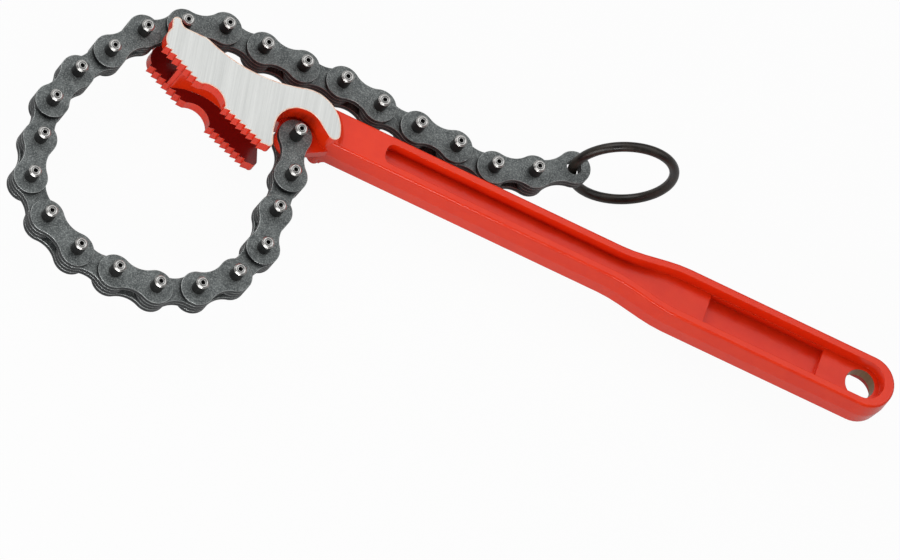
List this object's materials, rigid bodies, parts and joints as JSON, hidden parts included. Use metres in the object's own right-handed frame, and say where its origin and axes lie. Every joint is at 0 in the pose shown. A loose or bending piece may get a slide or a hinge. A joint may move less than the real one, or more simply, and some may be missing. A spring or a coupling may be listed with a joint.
{
  "type": "chain pipe wrench",
  "caption": "Chain pipe wrench: a forged red handle with toothed jaw cheeks and a hang hole, and a leaf chain that wraps a pipe, hooks on the jaw's horn and ends in a pull ring.",
  "frame": {"origin": "centre of the hang hole, half way through the thickness of the handle", "axes": "+X along the handle from the jaw to the butt, +Y across the handle away from the pipe, +Z along the hang hole and all chain pins, towards the side shown in the picture"},
  "size_m": [0.3354, 0.1404, 0.0412],
  "materials": {
    "red_paint": "glossy red paint, with the two side faces of the jaw ground bright",
    "plate_steel": "dark grey phosphated steel",
    "pin_steel": "dark oiled steel with bright turned ends",
    "ring_steel": "black oxide steel, satin"
  },
  "bodies": {
    "handle": {"forged_handle": "red_paint"},
    "outer_link_1": {"outer_link_1_front_plate": "plate_steel", "outer_link_1_back_plate": "plate_steel", "outer_link_1_pins": "pin_steel", "anchor_pin": "pin_steel"},
    "inner_link_1": {"inner_link_1_plates": "plate_steel"},
    "outer_link_2": {"outer_link_2_front_plate": "plate_steel", "outer_link_2_back_plate": "plate_steel", "outer_link_2_pins": "pin_steel"},
    "inner_link_2": {"inner_link_2_plates": "plate_steel"},
    "outer_link_3": {"outer_link_3_front_plate": "plate_steel", "outer_link_3_back_plate": "plate_steel", "outer_link_3_pins": "pin_steel"},
    "inner_link_3": {"inner_link_3_plates": "plate_steel"},
    "outer_link_4": {"outer_link_4_front_plate": "plate_steel", "outer_link_4_back_plate": "plate_steel", "outer_link_4_pins": "pin_steel"},
    "inner_link_4": {"inner_link_4_plates": "plate_steel"},
    "outer_link_5": {"outer_link_5_front_plate": "plate_steel", "outer_link_5_back_plate": "plate_steel", "outer_link_5_pins": "pin_steel"},
    "inner_link_5": {"inner_link_5_plates": "plate_steel"},
    "outer_link_6": {"outer_link_6_front_plate": "plate_steel", "outer_link_6_back_plate": "plate_steel", "outer_link_6_pins": "pin_steel"},
    "inner_link_6": {"inner_link_6_plates": "plate_steel"},
    "outer_link_7": {"outer_link_7_front_plate": "plate_steel", "outer_link_7_back_plate": "plate_steel", "outer_link_7_pins": "pin_steel"},
    "inner_link_7": {"inner_link_7_plates": "plate_steel"},
    "outer_link_8": {"outer_link_8_front_plate": "plate_steel", "outer_link_8_back_plate": "plate_steel", "outer_link_8_pins": "pin_steel"},
    "inner_link_8": {"inner_link_8_plates": "plate_steel"},
    "outer_link_9": {"outer_link_9_front_plate": "plate_steel", "outer_link_9_back_plate": "plate_steel", "outer_link_9_pins": "pin_steel"},
    "inner_link_9": {"inner_link_9_plates": "plate_steel"},
    "outer_link_10": {"outer_link_10_front_plate": "plate_steel", "outer_link_10_back_plate": "plate_steel", "outer_link_10_pins": "pin_steel"},
    "inner_link_10": {"inner_link_10_plates": "plate_steel"},
    "outer_link_11": {"outer_link_11_front_plate": "plate_steel", "outer_link_11_back_plate": "plate_steel", "outer_link_11_pins": "pin_steel"},
    "inner_link_11": {"inner_link_11_plates": "plate_steel"},
    "outer_link_12": {"outer_link_12_front_plate": "plate_steel", "outer_link_12_back_plate": "plate_steel", "outer_link_12_pins": "pin_steel"},
    "inner_link_12": {"inner_link_12_plates": "plate_steel"},
    "outer_link_13": {"outer_link_13_front_plate": "plate_steel", "outer_link_13_back_plate": "plate_steel", "outer_link_13_pins": "pin_steel"},
    "inner_link_13": {"inner_link_13_plates": "plate_steel"},
    "pull_ring": {"pull_ring": "ring_steel"}
  },
  "joints": [
    {"name": "anchor_pivot", "type": "hinge", "parent": "handle", "child": "outer_link_1", "pos_m": [-0.2292, -0.0085, 0], "axis": [0, 0, 1], "range_deg": [-4, 0]},
    {"name": "chain_pivot_1", "type": "hinge", "parent": "outer_link_1", "child": "inner_link_1", "pos_m": [-0.22568, -0.02398, 0], "axis": [0, 0, 1], "range_deg": [-4, 0]},
    {"name": "chain_pivot_2", "type": "hinge", "parent": "inner_link_1", "child": "outer_link_2", "pos_m": [-0.22629, -0.03984, 0], "axis": [0, 0, 1], "range_deg": [-4, 0]},
    {"name": "chain_pivot_3", "type": "hinge", "parent": "outer_link_2", "child": "inner_link_2", "pos_m": [-0.22579, -0.05571, 0], "axis": [0, 0, 1], "range_deg": [-4, 0]},
    {"name": "chain_pivot_4", "type": "hinge", "parent": "inner_link_2", "child": "outer_link_3", "pos_m": [-0.23178, -0.07041, 0], "axis": [0, 0, 1], "range_deg": [-4, 0]},
    {"name": "chain_pivot_5", "type": "hinge", "parent": "outer_link_3", "child": "inner_link_3", "pos_m": [-0.24285, -0.08179, 0], "axis": [0, 0, 1], "range_deg": [-4, 0]},
    {"name": "chain_pivot_6", "type": "hinge", "parent": "inner_link_3", "child": "outer_link_4", "pos_m": [-0.25726, -0.08845, 0], "axis": [0, 0, 1], "range_deg": [-4, 0]},
    {"name": "chain_pivot_7", "type": "hinge", "parent": "outer_link_4", "child": "inner_link_4", "pos_m": [-0.27308, -0.08978, 0], "axis": [0, 0, 1], "range_deg": [-4, 0]},
    {"name": "chain_pivot_8", "type": "hinge", "parent": "inner_link_4", "child": "outer_link_5", "pos_m": [-0.28889, -0.08835, 0], "axis": [0, 0, 1], "range_deg": [-4, 0]},
    {"name": "chain_pivot_9", "type": "hinge", "parent": "outer_link_5", "child": "inner_link_5", "pos_m": [-0.30313, -0.08135, 0], "axis": [0, 0, 1], "range_deg": [0, 20]},
    {"name": "chain_pivot_10", "type": "hinge", "parent": "inner_link_5", "child": "outer_link_6", "pos_m": [-0.31393, -0.0697, 0], "axis": [0, 0, 1], "range_deg": [0, 20]},
    {"name": "chain_pivot_11", "type": "hinge", "parent": "outer_link_6", "child": "inner_link_6", "pos_m": [-0.31581, -0.05394, 0], "axis": [0, 0, 1], "range_deg": [0, 36]},
    {"name": "chain_pivot_12", "type": "hinge", "parent": "inner_link_6", "child": "outer_link_7", "pos_m": [-0.3166, -0.03809, 0], "axis": [0, 0, 1], "range_deg": [0, 20]},
    {"name": "chain_pivot_13", "type": "hinge", "parent": "outer_link_7", "child": "inner_link_7", "pos_m": [-0.31191, -0.02292, 0], "axis": [0, 0, 1], "range_deg": [0, 20]},
    {"name": "chain_pivot_14", "type": "hinge", "parent": "inner_link_7", "child": "outer_link_8", "pos_m": [-0.30346, -0.00948, 0], "axis": [0, 0, 1], "range_deg": [0, 20]},
    {"name": "chain_pivot_15", "type": "hinge", "parent": "outer_link_8", "child": "inner_link_8", "pos_m": [-0.29477, 0.00381, 0], "axis": [0, 0, 1], "range_deg": [0, 20]},
    {"name": "chain_pivot_16", "type": "hinge", "parent": "inner_link_8", "child": "outer_link_9", "pos_m": [-0.2819, 0.0131, 0], "axis": [0, 0, 1], "range_deg": [0, 20]},
    {"name": "chain_pivot_17", "type": "hinge", "parent": "outer_link_9", "child": "inner_link_9", "pos_m": [-0.26729, 0.0193, 0], "axis": [0, 0, 1], "range_deg": [0, 20]},
    {"name": "chain_pivot_18", "type": "hinge", "parent": "inner_link_9", "child": "outer_link_10", "pos_m": [-0.25142, 0.01875, 0], "axis": [0, 0, 1], "range_deg": [0, 20]},
    {"name": "chain_pivot_19", "type": "hinge", "parent": "outer_link_10", "child": "inner_link_10", "pos_m": [-0.23555, 0.01903, 0], "axis": [0, 0, 1], "range_deg": [0, 20]},
    {"name": "chain_pivot_20", "type": "hinge", "parent": "inner_link_10", "child": "outer_link_11", "pos_m": [-0.21971, 0.02013, 0], "axis": [0, 0, 1], "range_deg": [0, 20]},
    {"name": "chain_pivot_21", "type": "hinge", "parent": "outer_link_11", "child": "inner_link_11", "pos_m": [-0.20399, 0.01792, 0], "axis": [0, 0, 1], "range_deg": [0, 20]},
    {"name": "chain_pivot_22", "type": "hinge", "parent": "inner_link_11", "child": "outer_link_12", "pos_m": [-0.18818, 0.01654, 0], "axis": [0, 0, 1], "range_deg": [0, 20]},
    {"name": "chain_pivot_23", "type": "hinge", "parent": "outer_link_12", "child": "inner_link_12", "pos_m": [-0.17231, 0.01626, 0], "axis": [0, 0, 1], "range_deg": [0, 20]},
    {"name": "chain_pivot_24", "type": "hinge", "parent": "inner_link_12", "child": "outer_link_13", "pos_m": [-0.15647, 0.01516, 0], "axis": [0, 0, 1], "range_deg": [0, 20]},
    {"name": "chain_pivot_25", "type": "hinge", "parent": "outer_link_13", "child": "inner_link_13", "pos_m": [-0.14165, 0.02084, 0], "axis": [0, 0, 1], "range_deg": [0, 20]},
    {"name": "ring_pivot", "type": "hinge", "parent": "inner_link_13", "child": "pull_ring", "pos_m": [-0.1279, 0.03084, 0], "axis": [0, 0, 1], "range_deg": [-35, 60]}
  ],
  "couplings": [
    {"joint": "anchor_pivot", "follows": "chain_pivot_11", "ratio": -0.11},
    {"joint": "chain_pivot_1", "follows": "chain_pivot_11", "ratio": -0.11},
    {"joint": "chain_pivot_2", "follows": "chain_pivot_11", "ratio": -0.11},
    {"joint": "chain_pivot_3", "follows": "chain_pivot_11", "ratio": -0.11},
    {"joint": "chain_pivot_4", "follows": "chain_pivot_11", "ratio": -0.11},
    {"joint": "chain_pivot_5", "follows": "chain_pivot_11", "ratio": -0.11},
    {"joint": "chain_pivot_6", "follows": "chain_pivot_11", "ratio": -0.11},
    {"joint": "chain_pivot_7", "follows": "chain_pivot_11", "ratio": -0.11},
    {"joint": "chain_pivot_8", "follows": "chain_pivot_11", "ratio": -0.11}
  ]
}
